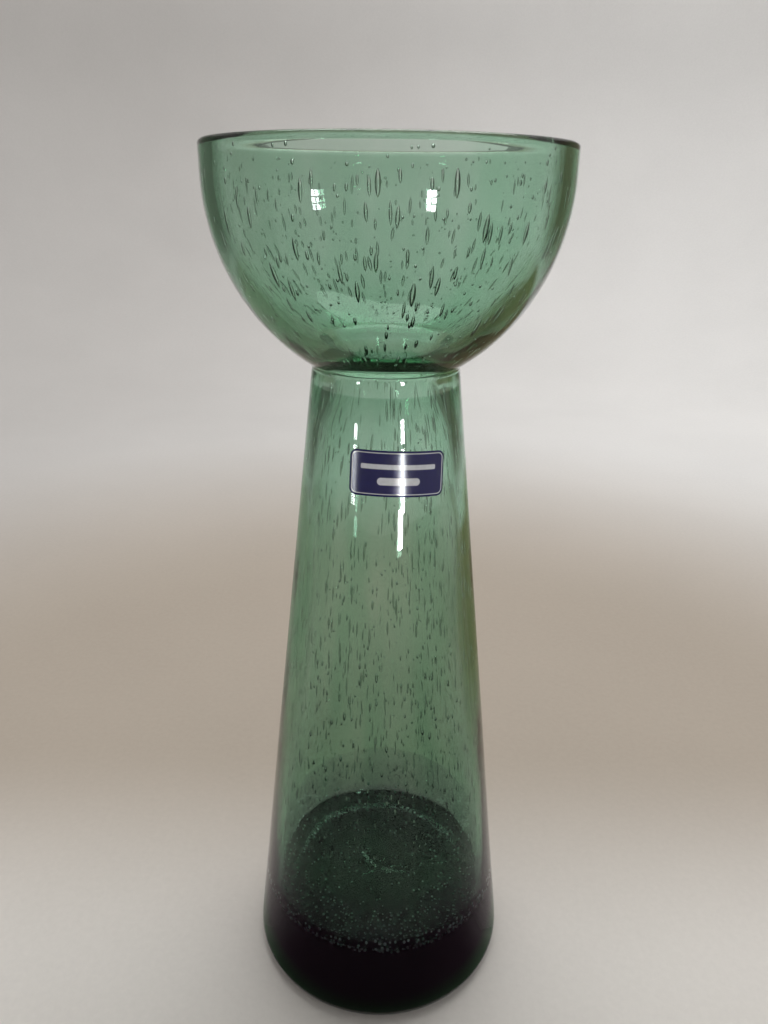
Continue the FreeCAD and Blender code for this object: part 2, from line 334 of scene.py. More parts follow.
def coloured_glass(name, per_metre, tint=(1, 1, 1), scale=(90, 90, 14)):
    """Body colour inside the clear glass, with faint drawn-out cords in it."""
    mat, nt, out = new_material(name)
    t = nt.nodes.new("ShaderNodeBsdfTransparent")
    cords = node(nt, "ShaderNodeTexNoise", Scale=1.0, Detail=4.0, Roughness=0.55)
    nt.links.new(stretched(nt, scale), cords.inputs["Vector"])
    ramp = nt.nodes.new("ShaderNodeValToRGB")
    ramp.color_ramp.elements[0].position = 0.36
    ramp.color_ramp.elements[0].color = (*tint, 1)
    ramp.color_ramp.elements[1].position = 0.66
    ramp.color_ramp.elements[1].color = (1, 1, 1, 1)
    nt.links.new(cords.outputs["Fac"], ramp.inputs["Fac"])
    nt.links.new(ramp.outputs["Color"], t.inputs["Color"])
    nt.links.new(t.outputs["BSDF"], out.inputs["Surface"])
    absorber(nt, out, per_metre)
    return mat


def painted_glint_seed():
    """Seeds deep in dark glass, drawn as pale, partly metallic specks: a painted glint, in place of the light from
    above that the air bubbles throw back up.
    """
    mat, nt, out = new_material("base_seeds")
    p = nt.nodes.new("ShaderNodeBsdfPrincipled")
    # random brightness of the painted glints, from dark green to near white
    shade = node(nt, "ShaderNodeTexNoise", Scale=1.0, Detail=2.0, Roughness=0.5)
    nt.links.new(stretched(nt, (700, 700, 700)), shade.inputs["Vector"])
    ramp = nt.nodes.new("ShaderNodeValToRGB")
    ramp.color_ramp.elements[0].position = 0.35
    ramp.color_ramp.elements[0].color = (0.34, 0.46, 0.42, 1)
    ramp.color_ramp.elements[1].position = 0.62
    ramp.color_ramp.elements[1].color = (0.86, 0.97, 0.93, 1)
    nt.links.new(shade.outputs["Fac"], ramp.inputs["Fac"])
    nt.links.new(ramp.outputs["Color"], p.inputs["Base Color"])
    p.inputs["Metallic"].default_value = 0.3
    p.inputs["Roughness"].default_value = 0.5
    p.inputs["IOR"].default_value = 1.5
    nt.links.new(p.outputs["BSDF"], out.inputs["Surface"])
    return mat


casing_glass = clear_glass()
lining_glass = coloured_glass("green_seeded_glass", (218.0, 112.0, 176.0), (0.93, 0.975, 0.95))
stem_glass = coloured_glass("green_stem_glass", (235.0, 128.0, 196.0), (0.91, 0.965, 0.94))
ring_glass = coloured_glass("green_ring_glass", (70.0, 34.0, 58.0), (0.93, 0.975, 0.95))
amethyst_glass = coloured_glass("amethyst_glass", (170.0, 260.0, 185.0), (0.95, 0.93, 0.96), (60, 60, 25))
foot_glass = coloured_glass("green_foot_glass", (80.0, 26.0, 58.0), (0.94, 0.97, 0.95), (60, 60, 25))

# ------------------------------------------------------ the glass of the vase
# One closed skin: the outside of both casings and the inside of the vase.
skin = Outline(0, 1.6, "o")
skin.line(21.0, 1.6, "o", 2.6).line(29.2, 0.0, "o", 1.5).line(35.25, 0.0, "o", 1.5)
skin.arc(39.95, 4.8, 4.75, 1, "o", 0.6)
skin.line(cone(191.34), 191.34, "o", 1.8)
skin.arc(20.28, 193.28, 2.0, -1, "o", 0.25)
skin.arc(44.4, 237.5, 52.6, 1, "o", 1.3)
skin.line(44.4, 243.5, "o", 1.5)
skin.arc(43.3, 244.6, 1.1, 1, "o", 0.2).line(42.7, 244.6, "o", 0.3).arc(41.0, 242.9, 1.7, 1, "i", 0.3)
skin.line(41.0, 237.5, "i", 1.5)
skin.arc(17.4, 197.4, 45.868, -1, "i", 1.3)
skin.arc(14.0, 193.2, 4.6, 1, "i", 0.6)
skin.curve(bore, 28.0, "i", 1.7)
skin.arc(27.0, 22.0, 6.0, -1, "i", 0.7)
skin.line(0, 21.4, "i", 1.6)

# ------------------------------------------------------------ colour inside it
lining_bowl = Outline(17.4, 197.4, ".")
lining_bowl.line(18.4, 195.0, "+", 0.8)
lining_bowl.arc(42.7, 237.5, 49.3153, 1, "+", 1.4)
lining_bowl.line(42.7, 244.45, "+", 1.0)
lining_bowl.arc(41.0, 242.9, 1.7, 1, "i", 0.35)
lining_bowl.line(41.0, 237.5, "i", 1.5)
lining_bowl.arc(17.4, 197.4, 45.868, -1, "i", 1.3)

ring = Outline(liner(187.0), 187.0, "+")
ring.curve(liner, 195.0, "+", 1.0)
ring.line(17.4, 197.3, ".", 0.8)
ring.arc(14.0, 193.2, 4.6, 1, "i", 0.6)
ring.line(14.0, 187.0, "i", 1.0)
ring.line(liner(187.0), 187.0, ".", 1.0)

lining_stem = Outline(0, 18.6, "+")
lining_stem.line(27.0, 19.2, "+", 1.6)
lining_stem.arc(35.8, 28.0, 8.8, 1, "+", 0.7)
lining_stem.curve(liner, 186.8, "+", 1.7)
lining_stem.line(14.0, 186.8, ".", 1.1)
lining_stem.curve(bore, 28.0, "i", 1.7)
lining_stem.arc(27.0, 22.0, 6.0, -1, "i", 0.7)
lining_stem.line(0, 21.4, "i", 1.6)

# ---------------------------------------------------------------- air in glass
rng = random.Random(4107)
seeds = []  # (centre, along, across, out, half length, half width, half depth, sharpness)
shelves = {}  # the same seeds by level, to look up neighbours


def wall_at(part, t):
    """Point between lining and seam: (r_in, r_out, z, tangent (dr, dz))."""
    if part == "bowl":
        # t is the angle on the bowl's arc
        inner = (-4.868 + 45.868 * math.cos(t), 237.5 + 45.868 * math.sin(t))
        outer = (-6.615 + 49.315 * math.cos(t), 237.5 + 49.315 * math.sin(t))
        return inner, outer, (-math.sin(t), math.cos(t))
    z = t
    return (bore(z), z), (liner(z), z), ((bore(z + 1) - bore(z - 1)) / 2, 1.0)


def put_seed(inner, outer, tangent, az, depth, half, wide, deep, sharp=0.5, lean=0.0):
    r = inner[0] + (outer[0] - inner[0]) * depth
    z = inner[1] + (outer[1] - inner[1]) * depth
    room = math.hypot(outer[0] - inner[0], outer[1] - inner[1])
    deep = min(deep, 0.42 * room)
    # keep clear of the vase's own surfaces
    low = (0.42 + deep) / room
    r = inner[0] + (outer[0] - inner[0]) * max(depth, low)
    z = inner[1] + (outer[1] - inner[1]) * max(depth, low)
    centre = Vector((r * math.cos(az), r * math.sin(az), z))
    length = math.hypot(*tangent)
    tr, tz = tangent[0] / length, tangent[1] / length
    along = Vector((tr * math.cos(az), tr * math.sin(az), tz))
    across = Vector((-math.sin(az), math.cos(az), 0))
    out = along.cross(across) * -1
    along = (along + across * lean).normalized()
    across = along.cross(out).normalized()
    shelf = int(z // 4)
    for level in (shelf - 2, shelf - 1, shelf, shelf + 1, shelf + 2):
        for c, a, h, w in shelves.get(level, ()):
            d = centre - c
            if d.length_squared > (half + wide + h + w + 1) ** 2:
                continue
            u = abs(d.dot(a))
            v = (d - a * d.dot(a)).length
            if u < h + half + 0.15 and v < w + wide + 0.12:
                return False
    seeds.append((centre, along, across, out, half, wide, deep, sharp))
    shelves.setdefault(shelf, []).append((centre, along, half, wide))
    return True


def scatter(count, make, tries=40):
    made = 0
    for _ in range(count * tries):
        if made >= count:
            break
        made += bool(make())
    return made


def bowl_seed(kind):
    low, high = math.radians(-58), math.radians(0)
    # even spread over the bowl's surface, denser to the bottom
    while True:
        t = rng.uniform(low, high)
        if rng.random() < (math.cos(t) if kind != "small" else 0.55 + 0.45 * math.cos(t)):
            break
    inner, outer, tangent = wall_at("bowl", t)
    az = rng.uniform(0, TAU)
    lean = rng.gauss(0, 0.05)
    if kind == "leaf":
        half = rng.uniform(1.5, 3.0)
        wide = half * rng.uniform(0.15, 0.23)
        return put_seed(inner, outer, tangent, az, rng.uniform(0.35, 0.9), half, wide, wide * rng.uniform(0.7, 1.0), 0.8, lean)
    if kind == "drop":
        half = rng.uniform(0.7, 1.5)
        wide = rng.uniform(0.24, 0.42)
        return put_seed(inner, outer, tangent, az, rng.uniform(0.3, 0.95), half, wide, wide * 0.85, 0.65, lean)
    size = rng.uniform(0.14, 0.34)
    return put_seed(inner, outer, tangent, az, rng.uniform(0.3, 1.0), size * rng.uniform(1.0, 1.6), size, size * 0.9, 0.5, lean)


def collar_seed():
    z = rng.uniform(237.6, 242.6)
    size = rng.uniform(0.16, 0.4)
    az = rng.uniform(0, TAU)
    return put_seed((41.0, z), (42.7, z), (0, 1), az, rng.uniform(0.3, 1.0), size * rng.uniform(1.0, 1.9), size, size * 0.9, 0.5)


def stem_seed(kind):
    az = rng.uniform(0, TAU)
    if kind == "streak":
        z = 30 + 158 * rng.random() ** 0.9
        half = rng.uniform(1.0, 3.4) * (0.65 + 0.35 * (z / 190))
        wide = rng.uniform(0.14, 0.27)
    elif kind == "oval":
        z = 28 + 92 * rng.random() ** 1.2
        half = rng.uniform(0.55, 1.5)
        wide = rng.uniform(0.22, 0.4)
    else:
        z = 28 + 150 * rng.random() ** 1.3
        half = rng.uniform(0.16, 0.36)
        wide = half * rng.uniform(0.7, 1.0)
    inner, outer, tangent = wall_at("stem", z)
    return put_seed(inner, outer, tangent, az, rng.uniform(0.3, 1.0), half, wide, wide, 0.7 if kind == "streak" else 0.5, rng.gauss(0, 0.03))


def pool_seed():
    """Seeds gathered in the rounded bottom corner of the lining."""
    a = math.radians(rng.uniform(-88, 5))
    inner = (27.0 + 6.0 * math.cos(a), 28.0 + 6.0 * math.sin(a))
    outer = (27.0 + 8.8 * math.cos(a), 28.0 + 8.8 * math.sin(a))
    size = rng.uniform(0.28, 0.52)
    az = rng.uniform(0, TAU)
    crowd = 0.5 + 0.5 * noise.noise(Vector((math.cos(az) * 3.1, math.sin(az) * 3.1, a * 1.5)))
    crowd *= max(0.14, 0.5 - 0.5 * math.sin(az))
    if rng.random() > crowd:
        return False
    return put_seed(inner, outer, (-math.sin(a), math.cos(a)), az, rng.uniform(0.15, 0.5), size * rng.uniform(1.0, 1.5), size, size, 0.5)


def floor_seed():
    r = 27.0 * math.sqrt(rng.random())
    if r < 1.5:
        return False
    z = 21.4 + 0.6 * r / 27.0
    size = rng.uniform(0.2, 0.4)
    az = rng.uniform(0, TAU)
    crowd = 0.5 + 0.5 * noise.noise(Vector((math.cos(az) * r * 0.16, math.sin(az) * r * 0.16, 7.3)))
    if rng.random() > crowd:
        return False
    return put_seed((r, z), (r, z - 2.8), (1, 0.02), az, rng.uniform(0.2, 0.45), size, size, size, 0.5)


def crescent_seed():
    """The crowd of seeds along the front of the floor."""
    az = -math.pi / 2 + rng.gauss(0, 0.75)
    r = rng.uniform(18.5, 27.0)
    crowd = 0.5 + 0.5 * noise.noise(Vector((math.cos(az) * r * 0.3, math.sin(az) * r * 0.3, 3.9)))
    if rng.random() > crowd * (0.35 + 0.65 * (r - 18.5) / 8.5):
        return False
    z = 21.4 + 0.6 * r / 27.0
    size = rng.uniform(0.26, 0.5)
    return put_seed((r, z), (r, z - 2.8), (1, 0.02), az, rng.uniform(0.2, 0.45), size, size, size, 0.5)


made = [
    scatter(160, lambda: bowl_seed("leaf")),
    scatter(220, lambda: bowl_seed("drop")),
    scatter(380, lambda: bowl_seed("small")),
    scatter(60, collar_seed),
    scatter(900, lambda: stem_seed("streak")),
    scatter(420, lambda: stem_seed("oval")),
    scatter(360, lambda: stem_seed("small")),
]
walls = len(seeds)
made += [scatter(330, pool_seed), scatter(150, crescent_seed), scatter(95, floor_seed)]
print("seeds", made, sum(made))


def add_seed(bm, seed, outwards=False):
    """A closed bubble, facing inwards unless told, with its poles on the long axis."""
    centre, along, across, out, half, wide, deep, sharp = seed
    if half > 1.4:
        rings, sides = 10, 8
    elif max(half, wide) > 0.5:
        rings, sides = 7, 7
    else:
        rings, sides = 5, 6
    low = bm.verts.new((centre - along * half) * MM)
    high = bm.verts.new((centre + along * half) * MM)
    hoops = []
    for i in range(1, rings):
        u = -math.cos(math.pi * i / rings)
        rho = (1 - u * u) ** sharp
        hoop = []
        for k in range(sides):
            a = TAU * k / sides
            p = centre + along * (u * half) + across * (rho * wide * math.cos(a)) + out * (rho * deep * math.sin(a))
            hoop.append(bm.verts.new(p * MM))
        hoops.append(hoop)
    # the sense of turning decides which way the faces look
    flip = (along.cross(across).dot(out) > 0) != outwards
    faces = []
    for k in range(sides):
        m = (k + 1) % sides
        faces.append((low, hoops[0][m], hoops[0][k]))
        faces.append((high, hoops[-1][k], hoops[-1][m]))
        for i in range(len(hoops) - 1):
            faces.append((hoops[i][k], hoops[i][m], hoops[i + 1][m], hoops[i + 1][k]))
    for f in faces:
        face = bm.faces.new(f if not flip else tuple(reversed(f)))
        face.smooth = True


glass = turned("vase_glass", skin)
for seed in seeds[:walls]:
    add_seed(glass, seed)
vase_glass = finish_mesh("vase_glass", glass, casing_glass, "clear_glass", "bowl_clear_casing", "stem_clear_casing")

base_air = bmesh.new()
for seed in seeds[walls:]:
    add_seed(base_air, seed, outwards=True)
# the seeds in the base: opaque pale specks, painted glints
finish_mesh("base_seeds", base_air, painted_glint_seed(), "green_seeded_glass")

finish_mesh("bowl_lining", turned("bowl_lining", lining_bowl, 0.07), lining_glass, "green_seeded_glass", "bowl_seeded_lining")
finish_mesh("neck_ring", turned("neck_ring", ring, 0.07), ring_glass, "green_ring_glass", "throat_ring")
finish_mesh("stem_lining", turned("stem_lining", lining_stem, 0.07), stem_glass, "green_seeded_glass", "stem_seeded_lining")

wedge = Outline(0, 4.83, ".")
wedge.line(39.55, 4.83, ".", 2.4)
wedge.line(39.95, 4.9, "o", 1.0)
wedge.line(cone(44.0), 44.0, "o", 1.8)
wedge.line(35.15, 44.3, ".", 0.5)
wedge.line(35.8, 28.0, "-", 1.6)
wedge.arc(27.0, 19.2, 8.8, -1, "-", 0.7)
wedge.line(0, 18.6, "-", 1.6)
finish_mesh("amethyst_gather", turned("amethyst_gather", wedge, 0.06), amethyst_glass, "amethyst_glass", "amethyst_base")

foot = Outline(0, 1.6, "o")
foot.line(21.0, 1.6, "o", 2.6).line(29.2, 0.0, "o", 1.5).line(35.25, 0.0, "o", 1.5)
foot.arc(39.95, 4.77, 4.75, 1, "o", 0.6)
foot.line(0, 4.77, ".", 2.4)
finish_mesh("foot_glass", turned("foot_glass", foot, 0.08), foot_glass, "green_foot_glass", "green_foot")

# ---------------------------------------------------------------------- label
# The film is a flat rounded rectangle laid on the cone without stretching.
MIDDLE, WIDE, TALL, THICK, CORNER = 169.35, 24.95, 11.57, 0.14, 1.9
ASKEW = math.radians(3.2)
LEAN = math.atan(SLOPE)
APEX = 192.6 + 19.2 / SLOPE


def label_piece():
    """Film wrapped on the cone, with x and y measured on the flat film."""
    nx, nz = 72, 34
    bm = bmesh.new()
    uv = bm.loops.layers.uv.new("UVMap")
    half, tall = WIDE / 2, TALL / 2

    def rounded(u, v):
        """Square -1..1 to the rounded rectangle, in millimetres."""
        x, y = u * half, v * tall
        ax, ay = abs(x), abs(y)
        cx, cy = half - CORNER, tall - CORNER
        if ax > cx and ay > cy:
            px, py = (ax - cx) / CORNER, (ay - cy) / CORNER
            m, d = max(px, py), math.hypot(px, py)
            if d > 1e-9:
                px, py = px * m / d, py * m / d
            x = math.copysign(cx + CORNER * px, x)
            y = math.copysign(cy + CORNER * py, y)
        return x, y

    def spread(i, n):
        """Even stations from -1 to 1."""
        return 2 * i / n - 1

    def place(x, y, lift):
        x, y = x * math.cos(ASKEW) + y * math.sin(ASKEW), y * math.cos(ASKEW) - x * math.sin(ASKEW)
        down = (APEX - MIDDLE) / math.cos(LEAN) - y
        slant = math.hypot(x, down)
        az = LABEL_AZ + math.atan2(x, down) / math.sin(LEAN)
        r = slant * math.sin(LEAN) + lift * math.cos(LEAN)
        z = APEX - slant * math.cos(LEAN) + lift * math.sin(LEAN)
        return Vector((r * math.cos(az), r * math.sin(az), z)) * MM

    us = [spread(i, nx) for i in range(nx + 1)]
    vs = [spread(k, nz) for k in range(nz + 1)]
    top, under, flat = {}, {}, {}
    for i, u in enumerate(us):
        for k, v in enumerate(vs):
            x, y = rounded(u, v)
            edge = min(half - abs(x), tall - abs(y))
            soft = 0.05 * (1 - step_between(0.0, 0.16, edge))
            top[i, k] = bm.verts.new(place(x, y, THICK - soft))
            under[i, k] = bm.verts.new(place(x, y, 0.004))
            flat[top[i, k]] = flat[under[i, k]] = (x, y)
    for i in range(nx):
        for k in range(nz):
            bm.faces.new((top[i, k], top[i + 1, k], top[i + 1, k + 1], top[i, k + 1]))
            bm.faces.new((under[i, k], under[i, k + 1], under[i + 1, k + 1], under[i + 1, k]))
    rim = [(i, 0) for i in range(nx)] + [(nx, k) for k in range(nz)]
    rim += [(i, nz) for i in range(nx, 0, -1)] + [(0, k) for k in range(nz, 0, -1)]
    for a, b in zip(rim, rim[1:] + rim[:1]):
        bm.faces.new((under[a], under[b], top[b], top[a]))
    for f in bm.faces:
        f.smooth = True
        for loop in f.loops:
            x, y = flat[loop.vert]
            loop[uv].uv = (0.5 + x / 27, 0.5 + y / 27)
    bmesh.ops.recalc_face_normals(bm, faces=bm.faces)
    return bm


def math_node(nt, op, a, b=None, clamp=False):
    n = nt.nodes.new("ShaderNodeMath")
    n.operation = op
    n.use_clamp = clamp
    for i, v in enumerate([a] if b is None else [a, b]):
        if isinstance(v, (int, float)):
            n.inputs[i].default_value = v
        else:
            nt.links.new(v, n.inputs[i])
    return n.outputs[0]


def label_film():
    mat, nt, out = new_material("label_film")
    p = nt.nodes.new("ShaderNodeBsdfPrincipled")
    uv = nt.nodes.new("ShaderNodeUVMap")
    split = nt.nodes.new("ShaderNodeSeparateXYZ")
    nt.links.new(uv.outputs[0], split.inputs[0])
    x = math_node(nt, "MULTIPLY", math_node(nt, "SUBTRACT", split.outputs[0], 0.5), 27.0)
    y = math_node(nt, "MULTIPLY", math_node(nt, "SUBTRACT", split.outputs[1], 0.5), 27.0)

    def box_distance(cx, cy, hx, hy, round_by):
        """Signed distance to a rounded box, millimetres, negative inside."""
        dx = math_node(nt, "SUBTRACT", math_node(nt, "ABSOLUTE", math_node(nt, "SUBTRACT", x, cx)), hx - round_by)
        dy = math_node(nt, "SUBTRACT", math_node(nt, "ABSOLUTE", math_node(nt, "SUBTRACT", y, cy)), hy - round_by)
        ox = math_node(nt, "MAXIMUM", dx, 0.0)
        oy = math_node(nt, "MAXIMUM", dy, 0.0)
        far = math_node(
            nt, "SQRT", math_node(nt, "ADD", math_node(nt, "MULTIPLY", ox, ox), math_node(nt, "MULTIPLY", oy, oy))
        )
        near = math_node(nt, "MINIMUM", math_node(nt, "MAXIMUM", dx, dy), 0.0)
        return math_node(nt, "SUBTRACT", math_node(nt, "ADD", far, near), round_by)

    def filled(distance, soft=0.05):
        return math_node(nt, "SUBTRACT", 0.5, math_node(nt, "DIVIDE", distance, 2 * soft), clamp=True)

    frame_line = box_distance(0, 0, WIDE / 2 - 0.62, TALL / 2 - 0.62, 1.3)
    line = filled(math_node(nt, "SUBTRACT", math_node(nt, "ABSOLUTE", frame_line), 0.11))
    bar = filled(box_distance(0, 1.75, 9.6, 0.62, 0.3))
    short = filled(box_distance(0, -1.9, 5.4, 0.95, 0.9))
    ink = math_node(nt, "MAXIMUM", math_node(nt, "MAXIMUM", line, bar), short)
    # print grain and a little ink spread
    grain = node(nt, "ShaderNodeTexNoise", Scale=900.0, Detail=3.0, Roughness=0.6)
    coords = nt.nodes.new("ShaderNodeTexCoord")
    nt.links.new(coords.outputs["Object"], grain.inputs["Vector"])
    shade = nt.nodes.new("ShaderNodeMapRange")
    shade.inputs["To Min"].default_value = 0.82
    shade.inputs["To Max"].default_value = 1.18
    nt.links.new(grain.outputs["Fac"], shade.inputs["Value"])
    mix = nt.nodes.new("ShaderNodeMix")
    mix.data_type = "RGBA"
    mix.inputs["A"].default_value = (0.0095, 0.0098, 0.098, 1)
    mix.inputs["B"].default_value = (0.72, 0.74, 0.78, 1)
    nt.links.new(ink, mix.inputs["Factor"])
    tone = nt.nodes.new("ShaderNodeVectorMath")
    tone.operation = "SCALE"
    nt.links.new(mix.outputs["Result"], tone.inputs[0])
    nt.links.new(shade.outputs["Result"], tone.inputs["Scale"])
    nt.links.new(tone.outputs[0], p.inputs["Base Color"])
    rough = nt.nodes.new("ShaderNodeMapRange")
    rough.inputs["To Min"].default_value = 0.11
    rough.inputs["To Max"].default_value = 0.21
    nt.links.new(grain.outputs["Fac"], rough.inputs["Value"])
    nt.links.new(rough.outputs["Result"], p.inputs["Roughness"])
    wave = node(nt, "ShaderNodeTexNoise", Scale=160.0, Detail=2.0, Roughness=0.5)
    nt.links.new(coords.outputs["Object"], wave.inputs["Vector"])
    bump = nt.nodes.new("ShaderNodeBump")
    bump.inputs["Strength"].default_value = 0.25
    bump.inputs["Distance"].default_value = 0.00005
    nt.links.new(wave.outputs["Fac"], bump.inputs["Height"])
    nt.links.new(bump.outputs["Normal"], p.inputs["Normal"])
    p.inputs["IOR"].default_value = 1.5
    nt.links.new(p.outputs["BSDF"], out.inputs["Surface"])
    return mat


finish_mesh("label_sticker", label_piece(), label_film(), "label_film", "label")


# --------------------------------------------------------------- the stage
def backdrop():
    """Floor that curves up into a round wall."""
    bm = bmesh.new()
    segments = 96
    profile = [(0.0, 0.0)]
    profile += [(0.06 * 1.33**i, 0.0) for i in range(9)]
    flat, bend = 0.75, 0.45
    profile = [p for p in profile if p[0] < flat] + [(flat, 0.0)]
    for i in range(1, 19):
        a = math.pi / 2 * i / 18
        profile.append((flat + bend * math.sin(a), bend - bend * math.cos(a)))
    profile += [(flat + bend, bend + 0.25 * i) for i in range(1, 7)]
    rings = []
    for r, z in profile:
        if r == 0:
            rings.append([bm.verts.new((0, 0, -0.0002))])
            continue
        rings.append(
            [
                bm.verts.new((r * math.cos(TAU * k / segments), r * math.sin(TAU * k / segments), z - 0.0002))
                for k in range(segments)
            ]
        )
    for low, high in zip(rings, rings[1:]):
        for k in range(segments):
            m = (k + 1) % segments
            if len(low) == 1:
                f = bm.faces.new((low[0], high[k], high[m]))
            else:
                f = bm.faces.new((low[k], high[k], high[m], low[m]))
            f.smooth = True
    mesh = bpy.data.meshes.new("backdrop")
    bm.to_mesh(mesh)
    bm.free()
    ob = bpy.data.objects.new("backdrop", mesh)
    scene.collection.objects.link(ob)
    mat, nt, out = new_material("backdrop_surface")
    p = nt.nodes.new("ShaderNodeBsdfPrincipled")
    p.inputs["Roughness"].default_value = 0.9
    p.inputs["Specular IOR Level"].default_value = 0.0
    speck = node(nt, "ShaderNodeTexNoise", Scale=420.0, Detail=6.0, Roughness=0.65)
    cloud = node(nt, "ShaderNodeTexNoise", Scale=7.0, Detail=3.0, Roughness=0.5)
    coords = nt.nodes.new("ShaderNodeTexCoord")
    for n in (speck, cloud):
        nt.links.new(coords.outputs["Object"], n.inputs["Vector"])
    both = math_node(
        nt,
        "ADD",
        math_node(nt, "MULTIPLY", speck.outputs["Fac"], 0.5),
        math_node(nt, "MULTIPLY", cloud.outputs["Fac"], 0.5),
    )
    ramp = nt.nodes.new("ShaderNodeValToRGB")
    ramp.color_ramp.elements[0].position = 0.35
    ramp.color_ramp.elements[0].color = (0.93, 0.93, 0.93, 1)
    ramp.color_ramp.elements[1].position = 0.65
    ramp.color_ramp.elements[1].color = (1, 1, 1, 1)
    nt.links.new(both, ramp.inputs["Fac"])
    # warmer on the table than on the wall; painted shadow: the table is darker behind the vase and paler towards its
    # front; painted shade: the wall is darker to the left and paler to the right, as if lit from the right
    where = nt.nodes.new("ShaderNodeSeparateXYZ")
    nt.links.new(coords.outputs["Object"], where.inputs[0])
    gone = math_node(
        nt,
        "SQRT",
        math_node(
            nt,
            "ADD",
            math_node(nt, "MULTIPLY", where.outputs[0], where.outputs[0]),
            math_node(nt, "MULTIPLY", where.outputs[1], where.outputs[1]),
        ),
    )

    def blend(value, low, high):
        n = nt.nodes.new("ShaderNodeMapRange")
        n.interpolation_type = "SMOOTHSTEP"
        n.inputs["From Min"].default_value = low
        n.inputs["From Max"].default_value = high
        nt.links.new(value, n.inputs["Value"])
        return n.outputs["Result"]

    def mixed(factor, a, b):
        n = nt.nodes.new("ShaderNodeMix")
        n.data_type = "RGBA"
        for socket, colour in (("A", a), ("B", b)):
            if isinstance(colour, tuple):
                n.inputs[socket].default_value = colour
            else:
                nt.links.new(colour, n.inputs[socket])
        nt.links.new(factor, n.inputs["Factor"])
        return n.outputs["Result"]

    # painted shadow: the table darker behind the vase
    table = mixed(blend(where.outputs[1], -0.03, 0.09), (0.71, 0.685, 0.65, 1), (0.455, 0.40, 0.34, 1))
    # painted shade: the wall darker to the left, paler to the right
    wall = mixed(blend(where.outputs[0], -0.5, 0.5), (0.565, 0.55, 0.535, 1), (0.80, 0.795, 0.785, 1))
    room = mixed(blend(gone, 0.24, 0.62), table, wall)
    tone = nt.nodes.new("ShaderNodeMix")
    tone.data_type = "RGBA"
    tone.blend_type = "MULTIPLY"
    tone.inputs["Factor"].default_value = 1.0
    nt.links.new(room, tone.inputs["A"])
    nt.links.new(ramp.outputs["Color"], tone.inputs["B"])
    nt.links.new(tone.outputs["Result"], p.inputs["Base Color"])
    nt.links.new(p.outputs["BSDF"], out.inputs["Surface"])
    mesh.materials.append(mat)


backdrop()


def card(name, corners, grey, soft, near=None):
    """A dark card that only shows in and through the glass, as used to shade glass in a studio:
    painted shade, darkening what the glass reflects and shows. Its outline is soft."""
    mesh = bpy.data.meshes.new(name)
    mesh.from_pydata([Vector(c) for c in corners], [], [(0, 1, 2, 3)])
    layer = mesh.uv_layers.new(name="UVMap")
    for loop, uv in zip(layer.data, ((0, 0), (1, 0), (1, 1), (0, 1))):
        loop.uv = uv
    ob = bpy.data.objects.new(name, mesh)
    scene.collection.objects.link(ob)
    ob.visible_camera = False
    ob.visible_diffuse = False
    ob.visible_shadow = False
    mat, nt, out = new_material(name + "_surface")
    p = nt.nodes.new("ShaderNodeBsdfPrincipled")
    p.inputs["Base Color"].default_value = (*grey, 1)
    p.inputs["Roughness"].default_value = 0.9
    # next to the foot the card turns green: a painted green reflection in the foot's lowest band
    if near is not None:
        across = nt.nodes.new("ShaderNodeSeparateXYZ")
        place = nt.nodes.new("ShaderNodeUVMap")
        nt.links.new(place.outputs[0], across.inputs[0])
        fade = nt.nodes.new("ShaderNodeMapRange")
        fade.inputs["From Min"].default_value = 0.002
        fade.inputs["From Max"].default_value = 0.009
        nt.links.new(across.outputs[1], fade.inputs["Value"])
        both = nt.nodes.new("ShaderNodeMix")
        both.data_type = "RGBA"
        both.inputs["A"].default_value = (*near, 1)
        both.inputs["B"].default_value = (*grey, 1)
        nt.links.new(fade.outputs["Result"], both.inputs["Factor"])
        nt.links.new(both.outputs["Result"], p.inputs["Base Color"])
    p.inputs["Specular IOR Level"].default_value = 0.0
    uv = nt.nodes.new("ShaderNodeUVMap")
    split = nt.nodes.new("ShaderNodeSeparateXYZ")
    nt.links.new(uv.outputs[0], split.inputs[0])
    factor = None
    for socket, margin in enumerate(soft):
        middle = math_node(nt, "ABSOLUTE", math_node(nt, "SUBTRACT", split.outputs[socket], 0.5))
        n = nt.nodes.new("ShaderNodeMapRange")
        n.interpolation_type = "SMOOTHSTEP"
        n.inputs["From Min"].default_value = 0.5
        n.inputs["From Max"].default_value = 0.5 - margin
        nt.links.new(middle, n.inputs["Value"])
        factor = n.outputs["Result"] if factor is None else math_node(nt, "MULTIPLY", factor, n.outputs["Result"])
    clear = nt.nodes.new("ShaderNodeBsdfTransparent")
    mix = nt.nodes.new("ShaderNodeMixShader")
    nt.links.new(factor, mix.inputs[0])
    nt.links.new(clear.outputs[0], mix.inputs[1])
    nt.links.new(p.outputs["BSDF"], mix.inputs[2])
    nt.links.new(mix.outputs[0], out.inputs["Surface"])
    mesh.materials.append(mat)
    return ob


def flat_card(name, azimuth_from, azimuth_to, inner, outer, grey, soft, near=None):
    """The same kind of card, lying as a sector of a ring round the foot."""
    ob = card(name, [(0, 0, 0), (1, 0, 0), (1, 1, 0), (0, 1, 0)], grey, soft, near)
    bm = bmesh.new()
    layer = bm.loops.layers.uv.new("UVMap")
    steps = 48
    rows = []
    for i in range(steps + 1):
        u = i / steps
        a = math.radians(azimuth_from + (azimuth_to - azimuth_from) * u)
        rows.append([(bm.verts.new((r * math.sin(a), -r * math.cos(a), 0.002)), (u, v)) for v, r in ((0, inner), (1, outer))])
    for p, q in zip(rows, rows[1:]):
        corners = [p[0], p[1], q[1], q[0]]
        f = bm.faces.new([c[0] for c in corners])
        for loop, c in zip(f.loops, corners):
            loop[layer].uv = c[1]
    bm.to_mesh(ob.data)
    bm.free()
    return ob


